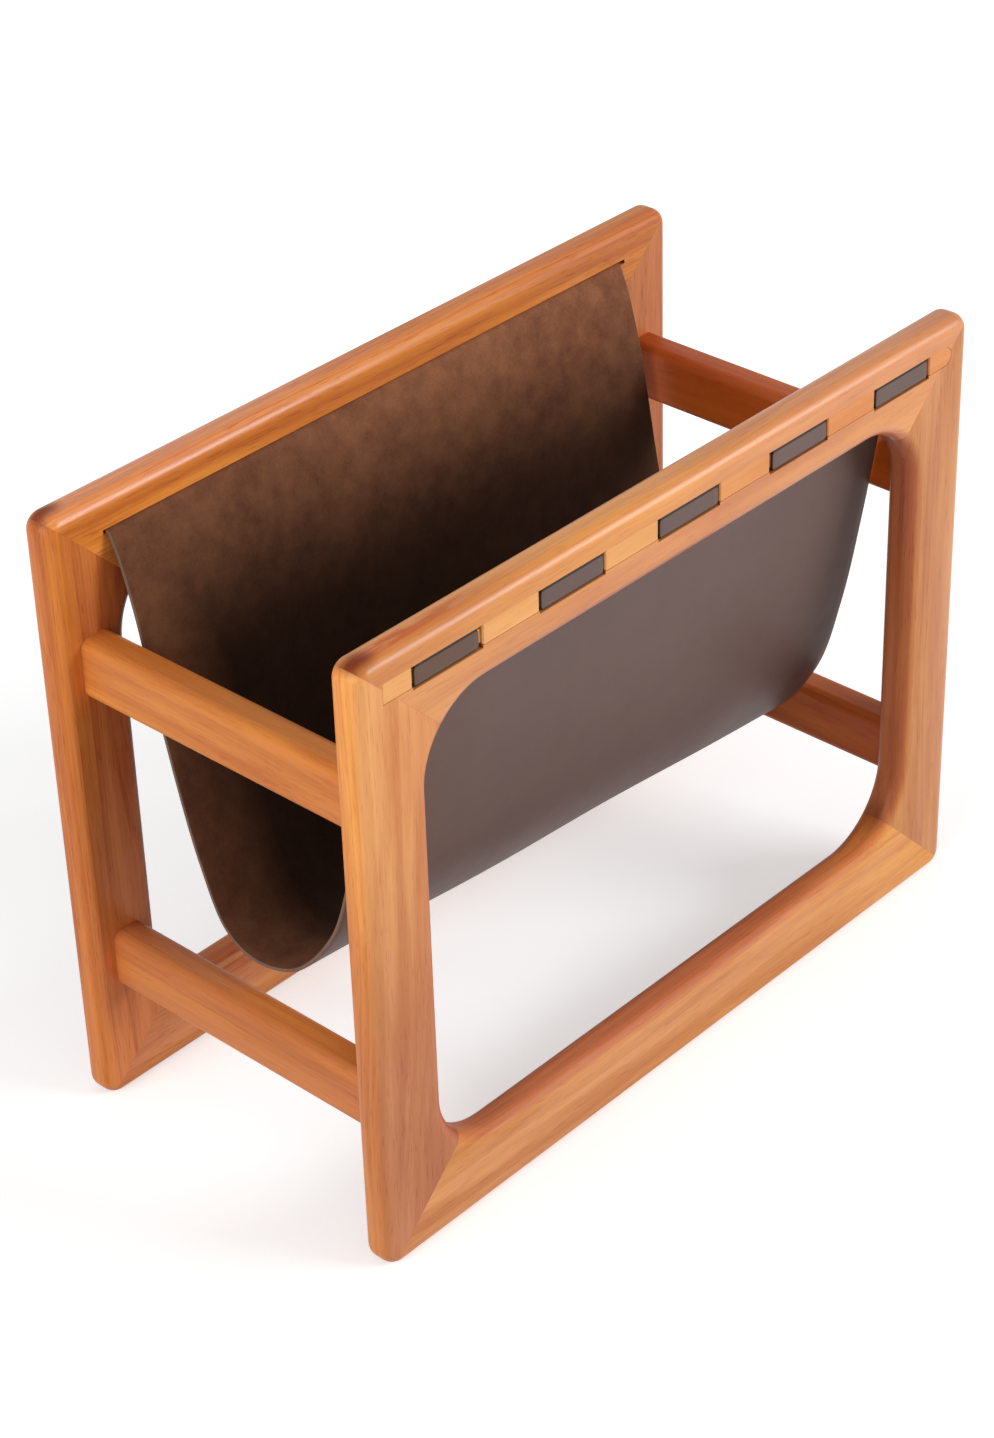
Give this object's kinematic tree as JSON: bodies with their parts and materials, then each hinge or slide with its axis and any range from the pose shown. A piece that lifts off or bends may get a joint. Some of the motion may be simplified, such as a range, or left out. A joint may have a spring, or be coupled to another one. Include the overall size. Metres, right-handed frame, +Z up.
{
  "type": "magazine rack",
  "caption": "Free-standing magazine rack: two mitred hardwood frames, cross rails and a leather sling threaded through the top rails.",
  "frame": {"origin": "on the floor, under the middle of the rack (bottom centre of its box)", "axes": "+Z up, X along the rack from its left end to its right end, Y across it from the near frame (-Y) to the far frame (+Y)"},
  "size_m": [0.47, 0.23, 0.36],
  "materials": {
    "teak": "oiled",
    "teak_batten": "oiled",
    "hidden_beech": "raw",
    "sling_leather": "smooth grain outside, suede inside"
  },
  "bodies": {
    "root": {"far_batten": "teak_batten", "far_bottom_left_tongue": "hidden_beech", "far_bottom_rail": "teak", "far_bottom_right_tongue": "hidden_beech", "far_left_stile": "teak", "far_right_stile": "teak", "far_top_left_tongue": "hidden_beech", "far_top_rail": "teak", "far_top_right_tongue": "hidden_beech", "leather_sling": "sling_leather", "left_lower_cross_rail": "teak", "left_lower_far_bottom_dowel": "hidden_beech", "left_lower_far_top_dowel": "hidden_beech", "left_lower_near_bottom_dowel": "hidden_beech", "left_lower_near_top_dowel": "hidden_beech", "left_upper_cross_rail": "teak", "left_upper_far_bottom_dowel": "hidden_beech", "left_upper_far_top_dowel": "hidden_beech", "left_upper_near_bottom_dowel": "hidden_beech", "left_upper_near_top_dowel": "hidden_beech", "near_batten": "teak_batten", "near_bottom_left_tongue": "hidden_beech", "near_bottom_rail": "teak", "near_bottom_right_tongue": "hidden_beech", "near_left_stile": "teak", "near_right_stile": "teak", "near_top_left_tongue": "hidden_beech", "near_top_rail": "teak", "near_top_right_tongue": "hidden_beech", "right_lower_cross_rail": "teak", "right_lower_far_bottom_dowel": "hidden_beech", "right_lower_far_top_dowel": "hidden_beech", "right_lower_near_bottom_dowel": "hidden_beech", "right_lower_near_top_dowel": "hidden_beech", "right_upper_cross_rail": "teak", "right_upper_far_bottom_dowel": "hidden_beech", "right_upper_far_top_dowel": "hidden_beech", "right_upper_near_bottom_dowel": "hidden_beech", "right_upper_near_top_dowel": "hidden_beech"}
  },
  "joints": []
}
